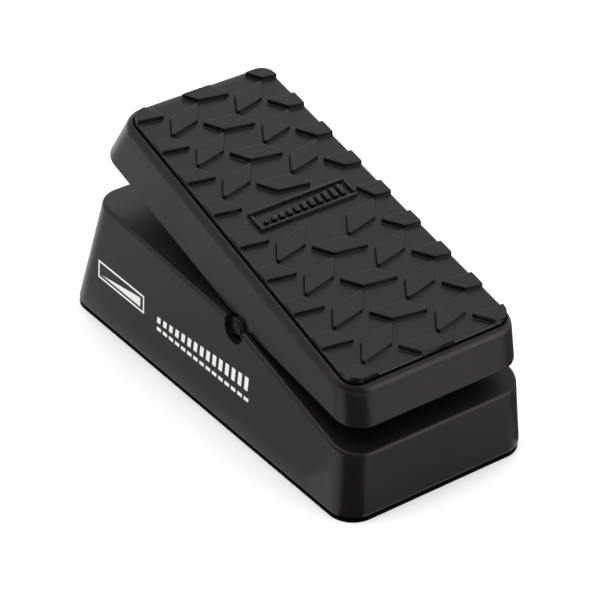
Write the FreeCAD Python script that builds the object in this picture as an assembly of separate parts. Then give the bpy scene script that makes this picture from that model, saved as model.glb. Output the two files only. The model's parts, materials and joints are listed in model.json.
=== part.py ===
"""Mini volume pedal: a cast housing, a rocking treadle, and a steel band that turns a potentiometer.

Millimetres. X is the width (left is -X), Y the length (toe is +Y, heel is -Y), Z is up.
The origin is on the floor, under the middle of the pedal.
"""
import FreeCAD, Part
import math
import os

Vec = FreeCAD.Vector

# ---- driving dimensions: housing ---------------------------------------------------------------
LENGTH = 155.0
HALF_WIDTH = 35.35
PAD_T = 1.0
PAD_INSET = 0.4
HEEL_Z = 23.4
KINK_Y = -15.5
KINK_Z = 40.3
TOE_SLOPE = 0.065
SIDE_DRAFT = 3.0
HEEL_DRAFT = 3.4
TOE_DRAFT = 18.0
WALL = 2.5
DECK_T = 3.0
CORNER_R = 8.9
TOP_EDGE_R = 1.3
BOTTOM_EDGE_R = 1.6
PLATE_T = 1.5
HEEL_Y = -LENGTH / 2
TOE_Y = LENGTH / 2

# ---- driving dimensions: treadle, in its own frame (s along the mat from its heel edge, z up) ---
TREADLE_TILT = 14.9
TREADLE_Y = -72.07
TREADLE_Z = 46.4
MAT_LENGTH = 126.0
MAT_HALF_HEEL = 30.4
MAT_HALF_TOE = 26.4
RIM = 2.25
SEAM = 0.5
MAT_R = 5.0
MAT_BED = 2.2
MAT_TOP = 0.8
BLOCK_H = 1.4
TREADLE_CORNER_R = 8.5
TREADLE_EDGE_R = 3.4
TREADLE_WALL = 2.3
TREADLE_TOP_T = 2.4
SKIRT_HEEL = 12.1
SKIRT_MID = 20.6
SKIRT_TOE = 21.0
SKIRT_MID_S = 46.0
HEEL_LEAN = 0.438
TOE_LEAN = 0.367
SKIRT_GAP = 0.4
SKIRT_EDGE_R = 0.5
DECK_DIP = ((-58.0, -0.1), (-22.0, 1.3), (-12.0, 1.0), (26.0, -0.1))
RIB_PLACES = (40.0, 62.0, 78.0)
RIB_T = 2.0
RIB_H = 3.0
BAY_R = 6.5
BAY_DS = 0.6
BAY_DROP = 2.7
BELOW_SKIRT = -40.0
ABOVE_MAT = 10.0
FLANGE_SCREW_X = 5.5
FLANGE_SCREW_XS = (-FLANGE_SCREW_X, FLANGE_SCREW_X)

# ---- driving dimensions: pivot and motion ------------------------------------------------------
PIVOT_Y = -16.9
PIVOT_Z = 37.8
HEEL_DOWN = 7.5
TOE_DOWN = 9.5
AXLE_R = 2.5
AXLE_END = 32.3
NOTCH_R = 4.7
NOTCH_IN = 20.0
NOTCH_OUT = 40.0
ABOVE_ALL = 60.0
FAR = 90.0
DECK_FLOOR_Z = 20.0
EAR_IN = 19.0
EAR_T = 3.0
EAR_R = 6.0
BUSH_R = 4.6
BUSH_IN = 23.5
BUSH_OUT = 28.2
CRADLE_HALF = 11.0
CRADLE_H = 10.5
CAP_SCREW_PILOT_R = 1.0
CAP_SCREW_DY = 8.7
CLEAR = 0.1

# ---- driving dimensions: band drive ------------------------------------------------------------
SECTOR_R = 28.0
SECTOR_ANGLE = -38.0
SECTOR_SPAN = 24.0
WEB_T = 3.0
RIM_T = 4.5
BAND_T = 0.2
BAND_W = 4.0
BAND_SCREW_IN = 2.2
DRUM_R = 3.5
DRUM_GAP = 0.4
SHAFT_R = 2.0
DRUM_HALF = 3.0

# ---- driving dimensions: jacks -----------------------------------------------------------------
JACK_XS = (-18.5, 0.0, 18.5)
JACK_NAMES = ("input", "aux", "output")
JACK_Z = 20.5
JACK_BORE_R = 3.25
SLEEVE_R = 4.6
SLEEVE_DEPTH = 8.0
SLEEVE_PROUD = 3.2
NUT_FLATS = 12.7
WASHER_R = 7.2
JACK_BODY = 13.0
JACK_DEPTH = 24.0


# ---- helpers -----------------------------------------------------------------------------------
def box(x0, x1, y0, y1, z0, z1):
    return Part.makeBox(x1 - x0, y1 - y0, z1 - z0, Vec(x0, y0, z0))


def cyl_x(y, z, r, x0, x1):
    return Part.makeCylinder(r, x1 - x0, Vec(x0, y, z), Vec(1, 0, 0))


def cyl_z(x, y, r, z0, z1):
    return Part.makeCylinder(r, z1 - z0, Vec(x, y, z0), Vec(0, 0, 1))


def polygon_face(points):
    return Part.Face(Part.makePolygon(points + [points[0]]))


def prism_x(yz_points, half):
    """A side profile in the YZ plane, pulled out to both sides."""
    face = polygon_face([Vec(-half, y, z) for y, z in yz_points])
    return face.extrude(Vec(2 * half, 0, 0))


def prism_z(xy_points, z0, z1):
    face = polygon_face([Vec(x, y, z0) for x, y in xy_points])
    return face.extrude(Vec(0, 0, z1 - z0))


def fuse_all(shapes):
    return shapes[0].multiFuse(shapes[1:]).removeSplitter()


def both_sides(shape):
    """The shape and its mirror image in the YZ plane, as two solids."""
    return [shape, shape.mirror(Vec(0, 0, 0), Vec(1, 0, 0))]


def corner_edges(solid, min_rise):
    """The edges that stand up at the four corners of a drafted block."""
    found = []
    for edge in solid.Edges:
        a = edge.Vertexes[0].Point
        b = edge.Vertexes[-1].Point
        if abs(a.z - b.z) > min_rise and abs(a.y - b.y) < abs(a.z - b.z):
            found.append(edge)
    return found


def middle(edge):
    return edge.valueAt((edge.FirstParameter + edge.LastParameter) / 2)


def hex_prism(across_flats, z0, z1):
    r = across_flats / math.sqrt(3)
    points = [(r * math.cos(math.radians(60 * i)), r * math.sin(math.radians(60 * i))) for i in range(6)]
    return prism_z(points, z0, z1)


def turned_to_x(shape):
    """Local Z becomes world X."""
    shape.rotate(Vec(0, 0, 0), Vec(0, 1, 0), 90)
    return shape


def export(name, shapes):
    shape = shapes[0] if len(shapes) == 1 else Part.makeCompound(shapes)
    shape.exportStep("parts/%s.step" % name)
    print("%-18s %7.1f mm3  solids %d  valid %s" % (name, shape.Volume, len(shape.Solids), shape.isValid()))


def tan(degrees):
    return math.tan(math.radians(degrees))


# ---- places in the treadle's frame -------------------------------------------------------------
def treadle_to_world(shape):
    shape.rotate(Vec(0, 0, 0), Vec(1, 0, 0), TREADLE_TILT)
    shape.translate(Vec(0, TREADLE_Y, TREADLE_Z))
    return shape


def world_to_treadle(y, z):
    a = math.radians(TREADLE_TILT)
    dy = y - TREADLE_Y
    dz = z - TREADLE_Z
    return dy * math.cos(a) + dz * math.sin(a), -dy * math.sin(a) + dz * math.cos(a)


PIVOT_S, PIVOT_D = world_to_treadle(PIVOT_Y, PIVOT_Z)


def mat_half(s):
    return MAT_HALF_HEEL + (MAT_HALF_TOE - MAT_HALF_HEEL) * s / MAT_LENGTH


def tapered_plan(s0, s1, grow):
    return [(-mat_half(s0) - grow, s0), (mat_half(s0) + grow, s0),
            (mat_half(s1) + grow, s1), (-mat_half(s1) - grow, s1)]


def rounded_plan(points, radius, z0, z1):
    solid = prism_z(points, z0, z1)
    upright = [e for e in solid.Edges if abs(e.Vertexes[0].Z - e.Vertexes[-1].Z) > 0.5 * (z1 - z0)]
    return solid.makeFillet(radius, upright)


# ---- housing -----------------------------------------------------------------------------------
def deck_z(y):
    if y < KINK_Y:
        heel_y = HEEL_Y + tan(HEEL_DRAFT) * (HEEL_Z - PAD_T)
        return KINK_Z + (KINK_Z - HEEL_Z) / (KINK_Y - heel_y) * (y - KINK_Y)
    return KINK_Z + TOE_SLOPE * (y - KINK_Y)


def deck_profile(drop, y_heel, y_toe, floor_z):
    """The deck's two slopes, lowered by drop, closed along floor_z."""
    return [(y_heel, floor_z), (y_heel, deck_z(y_heel) - drop), (KINK_Y, KINK_Z - drop),
            (y_toe, deck_z(y_toe) - drop), (y_toe, floor_z)]


def housing_block(inset, drop, floor_z, corner_r):
    """The housing's drafted outer form, moved in by inset at the walls and by drop at the deck."""
    heel = HEEL_Y + inset / math.cos(math.radians(HEEL_DRAFT))
    toe = TOE_Y - inset / math.cos(math.radians(TOE_DRAFT))
    half = HALF_WIDTH - inset / math.cos(math.radians(SIDE_DRAFT))

    def at(start, slope, z):
        return start + slope * (z - PAD_T)

    deck = prism_x(deck_profile(drop, -FAR, FAR, floor_z), FAR)
    heel_wall = [(at(heel, tan(HEEL_DRAFT), z), z) for z in (floor_z, FAR)]
    toe_wall = [(at(toe, -tan(TOE_DRAFT), z), z) for z in (FAR, floor_z)]
    ends = prism_x(heel_wall + toe_wall, FAR)
    low = at(half, -tan(SIDE_DRAFT), floor_z)
    high = at(half, -tan(SIDE_DRAFT), FAR)
    face = polygon_face([Vec(-low, -FAR, floor_z), Vec(low, -FAR, floor_z),
                         Vec(high, -FAR, FAR), Vec(-high, -FAR, FAR)])
    block = deck.common(ends).common(face.extrude(Vec(0, 2 * FAR, 0)))
    return block.makeFillet(corner_r, corner_edges(block, 15.0))


PLATE_POST_PLACES = [(x, y) for x in (-28.6, 28.6) for y in (-67.0, 66.5)]


def plate_posts(radius, z0, z1):
    return [cyl_z(x, y, radius, z0, z1) for x, y in PLATE_POST_PLACES]


def stop_frame(y):
    """Slope of the deck under a bump stop."""
    rise = deck_z(y + 0.5) - deck_z(y - 0.5)
    return math.degrees(math.atan(rise))


STOP_X = 14.0
STOP_R = 3.5
STOP_PLACES = {"toe": (112.0, 19.0, -TOE_DOWN), "heel": (9.0, 12.6, HEEL_DOWN)}
STOP_GAP = 0.4
BOSS_R = 4.0
STEM_R = 1.5
STEM_HOLE_R = 1.6


def stop_place(end):
    """Where the treadle's stop boss comes down on the deck at its limit, and the height left for rubber."""
    s, depth, turn = STOP_PLACES[end]
    a = math.radians(TREADLE_TILT + turn)
    ds = s - PIVOT_S
    dz = -depth - PIVOT_D
    y = PIVOT_Y + ds * math.cos(a) - dz * math.sin(a)
    z = PIVOT_Z + ds * math.sin(a) + dz * math.cos(a)
    lean = abs(math.sin(a - math.radians(stop_frame(y))))
    return y, z - deck_z(y) - STOP_GAP - BOSS_R * lean


def bump_stop(end, x):
    y, height = stop_place(end)
    pad = Part.makeCylinder(STOP_R, height)
    pad = pad.makeFillet(min(1.0, height * 0.4), [e for e in pad.Edges if abs(middle(e).z - height) < 0.01])
    stem = Part.makeCylinder(STEM_R, DECK_T + STEM_R, Vec(0, 0, -DECK_T - STEM_R))
    stop = pad.fuse(stem).removeSplitter()
    stop.rotate(Vec(0, 0, 0), Vec(1, 0, 0), stop_frame(y))
    stop.translate(Vec(x, y, deck_z(y)))
    return stop


def stop_hole(end, x):
    y = stop_place(end)[0]
    hole = Part.makeCylinder(STEM_HOLE_R, 4 * DECK_T, Vec(0, 0, -2 * DECK_T))
    hole.rotate(Vec(0, 0, 0), Vec(1, 0, 0), stop_frame(y))
    hole.translate(Vec(x, y, deck_z(y)))
    return hole


def jack_place(shape, x):
    """From a jack's own frame, Z out of the wall, to its seat on the sloping toe wall."""
    y = TOE_Y - tan(TOE_DRAFT) * (JACK_Z - PAD_T)
    shape.rotate(Vec(0, 0, 0), Vec(1, 0, 0), -(90 - TOE_DRAFT))
    shape.translate(Vec(x, y, JACK_Z))
    return shape


BOARD_POSTS = [(x, y) for x in (-20.0, 20.0) for y in (20.5, 39.5)]
BOARD_POST_R = 2.6
PLATE_POST_R = 3.0
BOARD_Z = 33.4
BOARD_T = 1.6
WELL_Y0 = -31.0
WELL_Y1 = 1.0
WELL_X = 28.4


def cradle(side):
    """The block inside the wall that carries one end of the axle."""
    y0 = PIVOT_Y - CRADLE_HALF
    y1 = PIVOT_Y + CRADLE_HALF
    inner = box(BUSH_IN, BUSH_OUT, y0, y1, PIVOT_Z - CRADLE_H, PIVOT_Z)
    outer = box(BUSH_OUT, HALF_WIDTH - 3.0, y0, y1, PIVOT_Z - CRADLE_H, PIVOT_Z - 1.5)
    block = inner.fuse(outer)
    return block if side > 0 else block.mirror(Vec(0, 0, 0), Vec(1, 0, 0))


def on_deck_edge(edge):
    """True for the edges round the deck, but not the crease across it."""
    p = middle(edge)
    lies_on_deck = abs(p.z - deck_z(p.y)) < 0.05
    crease = abs(p.y - KINK_Y) < 0.01 and abs(p.x) < 1.0
    return lies_on_deck and not crease


def deck_dip():
    """The shallow dip in the deck that lets the skirt pass at both ends of the travel."""
    profile = [(y, deck_z(y) - drop) for y, drop in DECK_DIP]
    profile += [(DECK_DIP[-1][0], ABOVE_ALL), (DECK_DIP[0][0], ABOVE_ALL)]
    a = math.radians(TREADLE_TILT)
    plan = [(x, TREADLE_Y + s * math.cos(a) - PIVOT_D * math.sin(a))
            for x, s in tapered_plan(0.0, 120.0, RIM + SKIRT_GAP)]
    return prism_x(profile, ABOVE_ALL).common(prism_z(plan, 0.0, ABOVE_ALL))


def housing():
    outer = housing_block(0.0, 0.0, PAD_T, CORNER_R)
    outer = outer.makeFillet(TOP_EDGE_R, [e for e in outer.Edges if on_deck_edge(e)])
    outer = outer.makeFillet(BOTTOM_EDGE_R, [e for e in outer.Edges if abs(middle(e).z - PAD_T) < 0.01])
    cavity = housing_block(WALL, DECK_T, PAD_T - 2.0, CORNER_R - WALL)
    shell = outer.cut(cavity)

    plate_top = PAD_T + PLATE_T
    posts = [p.common(outer) for p in plate_posts(PLATE_POST_R, plate_top, ABOVE_ALL)]
    posts += [cyl_z(x, y, BOARD_POST_R, BOARD_Z + BOARD_T, ABOVE_ALL).common(outer) for x, y in BOARD_POSTS]
    shell = fuse_all([shell] + posts + [cradle(1), cradle(-1)])

    cuts = [deck_dip(), box(-WELL_X, WELL_X, WELL_Y0, WELL_Y1, PIVOT_Z, ABOVE_ALL)]
    cuts.append(box(-BUSH_IN, BUSH_IN, WELL_Y0, WELL_Y1, DECK_FLOOR_Z, ABOVE_ALL))
    for x in (-1, 1):
        x0, x1 = sorted((x * NOTCH_IN, x * NOTCH_OUT))
        cuts.append(cyl_x(PIVOT_Y, PIVOT_Z, NOTCH_R, x0, x1))
        cuts.append(box(x0, x1, PIVOT_Y - NOTCH_R, PIVOT_Y + NOTCH_R, PIVOT_Z, ABOVE_ALL))
        for end in STOP_PLACES:
            cuts.append(stop_hole(end, x * STOP_X))
    cuts += plate_posts(1.25, plate_top - 1, plate_top + 9)
    cuts += [cyl_z(x, y, 1.0, BOARD_Z + BOARD_T - 1, BOARD_Z + BOARD_T + 4) for x, y in BOARD_POSTS]
    for x in JACK_XS:
        cuts.append(jack_place(Part.makeCylinder(SLEEVE_R + 0.2, 30, Vec(0, 0, -15)), x))
    for x in (-1, 1):
        for dy in (-CAP_SCREW_DY, CAP_SCREW_DY):
            bush_x = x * (BUSH_IN + BUSH_OUT) / 2
            cuts.append(cyl_z(bush_x, PIVOT_Y + dy, CAP_SCREW_PILOT_R, PIVOT_Z - 7, PIVOT_Z + 1))
    return shell.cut(Part.makeCompound(cuts)).removeSplitter()


PLATE_X = 32.3
PLATE_HEEL_Y = -74.4
PLATE_TOE_Y = 73.9
PLATE_R = 6.2


def bottom_plate():
    points = [(-PLATE_X, PLATE_HEEL_Y), (PLATE_X, PLATE_HEEL_Y),
              (PLATE_X, PLATE_TOE_Y), (-PLATE_X, PLATE_TOE_Y)]
    plate = rounded_plan(points, PLATE_R, PAD_T, PAD_T + PLATE_T)
    holes = plate_posts(1.7, 0, 5)
    holes += [cyl_z(x, y, 1.3, 0, 5) for x, y in BRACKET_SCREWS + TENSION_SCREWS]
    sinks = [Part.makeCone(3.0, 1.7, 1.3, Vec(p.CenterOfMass.x, p.CenterOfMass.y, PAD_T)) for p in holes[:4]]
    return plate.cut(Part.makeCompound(holes + sinks))


def base_pad():
    """A rubber sheet under the whole foot, just inside the housing's outline."""
    x = HALF_WIDTH - PAD_INSET
    y = TOE_Y - PAD_INSET
    pad = rounded_plan([(-x, -y), (x, -y), (x, y), (-x, y)], CORNER_R - PAD_INSET, 0.0, PAD_T)
    return pad.cut(Part.makeCompound(plate_posts(3.4, -1, 2)))


def plate_screws():
    screws = []
    for x, y in PLATE_POST_PLACES:
        head = Part.makeCone(2.9, 1.6, 1.3, Vec(x, y, PAD_T + 0.02))
        shank = cyl_z(x, y, 1.2, PAD_T + 1.0, PAD_T + 9.0)
        slot = cyl_z(x, y, 1.1, PAD_T, PAD_T + 0.7)
        screws.append(head.fuse(shank).cut(slot))
    return screws


# ---- treadle -----------------------------------------------------------------------------------
def on_skirt_edge(edge):
    """True for the edges round the foot of the skirt, but not the crease across it."""
    p = middle(edge)
    heel_s = -RIM - HEEL_LEAN * SKIRT_HEEL
    toe_s = MAT_LENGTH + RIM + TOE_LEAN * SKIRT_TOE
    if p.y < SKIRT_MID_S:
        foot = SKIRT_HEEL + (SKIRT_MID - SKIRT_HEEL) * (p.y - heel_s) / (SKIRT_MID_S - heel_s)
    else:
        foot = SKIRT_MID + (SKIRT_TOE - SKIRT_MID) * (p.y - SKIRT_MID_S) / (toe_s - SKIRT_MID_S)
    crease = abs(p.y - SKIRT_MID_S) < 0.01 and abs(p.x) < 1.0
    return abs(p.z + foot) < 0.05 and not crease


def treadle():
    top = MAT_LENGTH + RIM
    profile = [(-RIM, 0.0), (-RIM - HEEL_LEAN * SKIRT_HEEL, -SKIRT_HEEL), (SKIRT_MID_S, -SKIRT_MID),
               (top + TOE_LEAN * SKIRT_TOE, -SKIRT_TOE), (top, 0.0)]
    sides = prism_z(tapered_plan(-20.0, MAT_LENGTH + 24.0, RIM), BELOW_SKIRT, ABOVE_MAT)
    outer = prism_x(profile, FAR).common(sides)
    outer = outer.makeFillet(TREADLE_CORNER_R, corner_edges(outer, 8.0))
    outer = outer.makeFillet(TREADLE_EDGE_R, [e for e in outer.Edges if abs(middle(e).z) < 0.01])
    outer = outer.makeFillet(SKIRT_EDGE_R, [e for e in outer.Edges if on_skirt_edge(e)])

    lean_in = TREADLE_WALL + 0.2
    under = -MAT_BED - TREADLE_TOP_T
    heel_line = [(-RIM + lean_in + HEEL_LEAN * z, z) for z in (under, BELOW_SKIRT)]
    toe_line = [(top - lean_in - TOE_LEAN * z, z) for z in (BELOW_SKIRT, under)]
    sides = prism_z(tapered_plan(-30.0, MAT_LENGTH + 34.0, RIM - TREADLE_WALL), 2 * BELOW_SKIRT, ABOVE_MAT)
    hollow = prism_x(heel_line + toe_line, FAR).common(sides)
    hollow = hollow.makeFillet(TREADLE_CORNER_R - TREADLE_WALL, corner_edges(hollow, 8.0))
    recess = rounded_plan(tapered_plan(-SEAM, MAT_LENGTH + SEAM, SEAM), MAT_R + SEAM, -MAT_BED, ABOVE_MAT)
    tray = outer.cut(hollow).cut(recess)

    # half-round bay in each skirt, over the axle's end
    tray = tray.cut(cyl_x(PIVOT_S + BAY_DS, PIVOT_D - BAY_DROP, BAY_R, -FAR, FAR))

    additions = []
    for side in (-1, 1):
        x0, x1 = sorted((side * EAR_IN, side * (EAR_IN + EAR_T)))
        ear = box(x0, x1, PIVOT_S - EAR_R, PIVOT_S + EAR_R, PIVOT_D, under + 0.5)
        additions.append(ear.fuse(cyl_x(PIVOT_S, PIVOT_D, EAR_R, x0, x1)))
        for s, depth, turn in STOP_PLACES.values():
            additions.append(cyl_z(side * STOP_X, s, BOSS_R, -depth, under + 0.5))
        additions.append(cyl_z(side * FLANGE_SCREW_X, PIVOT_S, 3.2, -FLANGE_TOP, under + 0.5))
    for s in RIB_PLACES:
        half = mat_half(s) - 1.0
        additions.append(box(-half, half, s - RIB_T / 2, s + RIB_T / 2, under - RIB_H, under + 0.5))
    tray = fuse_all([tray] + additions)
    holes = [cyl_x(PIVOT_S, PIVOT_D, AXLE_R + 0.03, -FAR, FAR)]
    holes += [cyl_z(x, PIVOT_S, 1.25, -FLANGE_TOP - 1, under - 0.5) for x in FLANGE_SCREW_XS]
    return treadle_to_world(tray.cut(Part.makeCompound(holes)))


PATTERN_PITCH = 15.1
PATTERN_STEP = 28.0
LEAF = [(-23.3, 20.2), (-10.1, 22.8), (-4.3, 30.2), (-18.2, 27.8)]
MIRROR_LEAF = [(-9.8, 22.0), (-4.1, 15.7), (9.4, 13.7), (4.1, 20.5)]
PATTERN_ROWS = range(-1, 8)
BADGE = (-19.6, 19.6, 64.0, 72.2)
BADGE_CLEAR = 0.7
BADGE_H = 1.2
BLOCK_INSET = 0.15
BLOCK_ROOT = 0.5
LEAST_BLOCK = 1.0


def pattern_polygons():
    """Leaf-shaped tread blocks: columns lean one way, then the other, and follow the mat's taper."""
    polygons = []
    for leaf, columns in ((LEAF, (0, 1)), (MIRROR_LEAF, (-1, 0, 1))):
        for column in columns:
            for row in PATTERN_ROWS:
                points = [(x + column * PATTERN_STEP, s + row * PATTERN_PITCH) for x, s in leaf]
                x_mid = sum(p[0] for p in points) / 4
                s_mid = sum(p[1] for p in points) / 4
                in_badge_rows = BADGE[2] - 3 < s_mid < BADGE[3] + 2
                if in_badge_rows and x_mid > BADGE[1]:
                    points = [(max(x, BADGE[1] + BADGE_CLEAR), s) for x, s in points]
                if not in_badge_rows or abs(x_mid) > BADGE[1]:
                    polygons.append(points)
    return polygons


def on_mat(x, s):
    """Squeeze a pattern point drawn on a parallel mat to the real taper."""
    return x * mat_half(s) / MAT_HALF_HEEL, s


def treadle_mat():
    slab = rounded_plan(tapered_plan(0.0, MAT_LENGTH, 0.0), MAT_R, -MAT_BED, MAT_TOP)
    top = MAT_TOP + BLOCK_H
    root = MAT_TOP - BLOCK_ROOT
    inner = tapered_plan(BLOCK_INSET, MAT_LENGTH - BLOCK_INSET, -BLOCK_INSET)
    keep = rounded_plan(inner, MAT_R - BLOCK_INSET, -MAT_BED, top + 1)
    blocks = [prism_z([on_mat(x, s) for x, s in points], root, top) for points in pattern_polygons()]
    blocks = [b.common(keep) for b in blocks]
    x0, x1, s0, s1 = BADGE
    corners = [on_mat(x, s) for x, s in ((x0, s0), (x1, s0), (x1, s1), (x0, s1))]
    blocks.append(prism_z(corners, root, MAT_TOP + BADGE_H))
    blocks = [b for b in blocks if b.Volume > LEAST_BLOCK]
    return treadle_to_world(fuse_all([slab] + blocks))


# ---- pivot -------------------------------------------------------------------------------------
GROOVE_X = 31.4
CLIP_T = 0.6


def pivot_axle():
    axle = cyl_x(PIVOT_Y, PIVOT_Z, AXLE_R, -AXLE_END, AXLE_END)
    axle = axle.makeChamfer(0.4, [e for e in axle.Edges if abs(abs(e.CenterOfMass.x) - AXLE_END) < 0.01])
    for groove in both_sides(cyl_x(PIVOT_Y, PIVOT_Z, 3.5, GROOVE_X, GROOVE_X + CLIP_T)):
        axle = axle.cut(groove.cut(cyl_x(PIVOT_Y, PIVOT_Z, AXLE_R - 0.5, -40, 40)))
    return axle


def axle_clips():
    clip = cyl_x(PIVOT_Y, PIVOT_Z, 3.7, GROOVE_X + 0.03, GROOVE_X + CLIP_T - 0.03)
    clip = clip.cut(cyl_x(PIVOT_Y, PIVOT_Z, AXLE_R - 0.47, 0, 60))
    clip = clip.cut(box(0, 60, PIVOT_Y - 1.3, PIVOT_Y + 1.3, PIVOT_Z - 6, PIVOT_Z))
    for side in (-1, 1):
        clip = clip.cut(cyl_x(PIVOT_Y + side * 2.9, PIVOT_Z + 0.4, 0.55, 0, 60))
    return both_sides(clip)


def pivot_bushes():
    bush = cyl_x(PIVOT_Y, PIVOT_Z, BUSH_R, BUSH_IN, BUSH_OUT)
    bush = bush.fuse(cyl_x(PIVOT_Y, PIVOT_Z, 3.3, BUSH_OUT, GROOVE_X - 0.2))
    bush = bush.fuse(cyl_x(PIVOT_Y, PIVOT_Z, 3.7, EAR_IN + EAR_T + 0.3, BUSH_IN))
    return both_sides(bush.cut(cyl_x(PIVOT_Y, PIVOT_Z, AXLE_R + 0.06, 0, 60)))


def bush_caps():
    cap = box(BUSH_IN, BUSH_OUT, PIVOT_Y - CRADLE_HALF, PIVOT_Y + CRADLE_HALF, PIVOT_Z + 0.02, PIVOT_Z + 2.4)
    cap = cap.fuse(cyl_x(PIVOT_Y, PIVOT_Z, BUSH_R + 1.8, BUSH_IN, BUSH_OUT))
    cap = cap.cut(cyl_x(PIVOT_Y, PIVOT_Z, BUSH_R + 0.02, 0, 60))
    cap = cap.cut(box(0, 60, PIVOT_Y - 20, PIVOT_Y + 20, 0, PIVOT_Z + 0.02))
    for dy in (-CAP_SCREW_DY, CAP_SCREW_DY):
        cap = cap.cut(cyl_z((BUSH_IN + BUSH_OUT) / 2, PIVOT_Y + dy, 1.15, PIVOT_Z - 5, PIVOT_Z + 5))
    return both_sides(cap)


def cap_screws():
    screws = []
    for dy in (-CAP_SCREW_DY, CAP_SCREW_DY):
        x = (BUSH_IN + BUSH_OUT) / 2
        head = cyl_z(x, PIVOT_Y + dy, 1.9, PIVOT_Z + 2.42, PIVOT_Z + 3.8)
        shank = cyl_z(x, PIVOT_Y + dy, 0.95, PIVOT_Z - 6, PIVOT_Z + 2.5)
        slot = box(x - 3, x + 3, PIVOT_Y + dy - 0.3, PIVOT_Y + dy + 0.3, PIVOT_Z + 3.2, PIVOT_Z + 5)
        screws += both_sides(head.fuse(shank).cut(slot))
    return screws


# ---- band drive --------------------------------------------------------------------------------
FLANGE_TOP = 9.0
FLANGE_T = 2.0
LOCAL_ANGLE = SECTOR_ANGLE - TREADLE_TILT
DRUM_REACH = SECTOR_R + BAND_T + DRUM_GAP + BAND_T + DRUM_R
DRUM_Y = PIVOT_Y + DRUM_REACH * math.cos(math.radians(SECTOR_ANGLE))
DRUM_Z = PIVOT_Z + DRUM_REACH * math.sin(math.radians(SECTOR_ANGLE))


def pie(r_in, r_out, a0, a1, x0, x1, y, z):
    """A ring sector about an axis along X, between two angles measured from +Y."""
    ring = cyl_x(y, z, r_out, x0, x1)
    if r_in > 0:
        ring = ring.cut(cyl_x(y, z, r_in, x0 - 1, x1 + 1))
    far = 3 * r_out
    angles = [math.radians(a0 + (a1 - a0) * i / 4) for i in range(5)]
    points = [Vec(x0 - 1, y, z)]
    points += [Vec(x0 - 1, y + far * math.cos(a), z + far * math.sin(a)) for a in angles]
    return ring.common(polygon_face(points).extrude(Vec(x1 - x0 + 2, 0, 0)))


def drive_sector():
    s, z = PIVOT_S, PIVOT_D
    a0, a1 = LOCAL_ANGLE - SECTOR_SPAN, LOCAL_ANGLE + SECTOR_SPAN
    web = pie(0, SECTOR_R - 1, a0, a1, -WEB_T / 2, WEB_T / 2, s, z)
    rim = pie(SECTOR_R - 2.5, SECTOR_R, a0, a1, -RIM_T / 2, RIM_T / 2, s, z)
    hub = cyl_x(s, z, 6.0, -WEB_T / 2, WEB_T / 2)
    stem = box(-WEB_T / 2, WEB_T / 2, s - 6, s + 6, z, -FLANGE_TOP - FLANGE_T / 2)
    flange = box(-9.5, 9.5, s - 6, s + 6, -FLANGE_TOP - FLANGE_T, -FLANGE_TOP - 0.02)
    sector = fuse_all([web, rim, hub, stem, flange])
    holes = [cyl_x(s, z, AXLE_R + 0.02, -10, 10)]
    holes += [cyl_z(x, s, 1.6, -FLANGE_TOP - 5, 0) for x in FLANGE_SCREW_XS]
    for a in (a0 + BAND_SCREW_IN, a1 - BAND_SCREW_IN):
        hole = Part.makeCylinder(0.8, 8, Vec(0, 0, SECTOR_R - 3))
        holes.append(radial_place(hole, a, s, z))
    return treadle_to_world(sector.cut(Part.makeCompound(holes)))


def radial_place(shape, angle, y, z):
    """Turn a shape that points along Z to point along an angle in the YZ plane, from a centre."""
    shape.rotate(Vec(0, 0, 0), Vec(1, 0, 0), angle - 90)
    shape.translate(Vec(0, y, z))
    return shape


def sector_band():
    a0, a1 = LOCAL_ANGLE - SECTOR_SPAN, LOCAL_ANGLE + SECTOR_SPAN
    band = pie(SECTOR_R, SECTOR_R + BAND_T, a0 + 0.3, a1 - 0.3, -BAND_W / 2, BAND_W / 2, PIVOT_S, PIVOT_D)
    for a in (a0 + BAND_SCREW_IN, a1 - BAND_SCREW_IN):
        band = band.cut(radial_place(Part.makeCylinder(0.8, 8, Vec(0, 0, SECTOR_R - 3)), a, PIVOT_S, PIVOT_D))
    return treadle_to_world(band)


def band_screws():
    a0, a1 = LOCAL_ANGLE - SECTOR_SPAN, LOCAL_ANGLE + SECTOR_SPAN
    screws = []
    for a in (a0 + BAND_SCREW_IN, a1 - BAND_SCREW_IN):
        screw = Part.makeCylinder(1.7, 0.9, Vec(0, 0, SECTOR_R + BAND_T + 0.02))
        screw = screw.fuse(Part.makeCylinder(0.75, 2.6, Vec(0, 0, SECTOR_R - 2.2)))
        screws.append(treadle_to_world(radial_place(screw, a, PIVOT_S, PIVOT_D)))
    return screws


def sector_screws():
    screws = []
    for x in FLANGE_SCREW_XS:
        head = cyl_z(x, PIVOT_S, 2.7, -FLANGE_TOP - FLANGE_T - 1.8, -FLANGE_TOP - FLANGE_T - 0.02)
        shank = cyl_z(x, PIVOT_S, 1.2, -FLANGE_TOP - FLANGE_T - 0.1, -5.4)
        screws.append(treadle_to_world(head.fuse(shank)))
    return screws


def band_drum():
    drum = cyl_x(DRUM_Y, DRUM_Z, DRUM_R, -DRUM_HALF, DRUM_HALF).cut(cyl_x(DRUM_Y, DRUM_Z, SHAFT_R, -5, 5))
    hole = Part.makeCylinder(0.6, 3, Vec(0, 0, 1.9))
    return drum.cut(radial_place(hole, SECTOR_ANGLE, DRUM_Y, DRUM_Z))


def drum_band():
    ring = cyl_x(DRUM_Y, DRUM_Z, DRUM_R + BAND_T, -BAND_W / 2, BAND_W / 2)
    ring = ring.cut(cyl_x(DRUM_Y, DRUM_Z, DRUM_R, -5, 5))
    hole = Part.makeCylinder(0.6, 3, Vec(0, 0, 1.9))
    return ring.cut(radial_place(hole, SECTOR_ANGLE, DRUM_Y, DRUM_Z))


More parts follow.
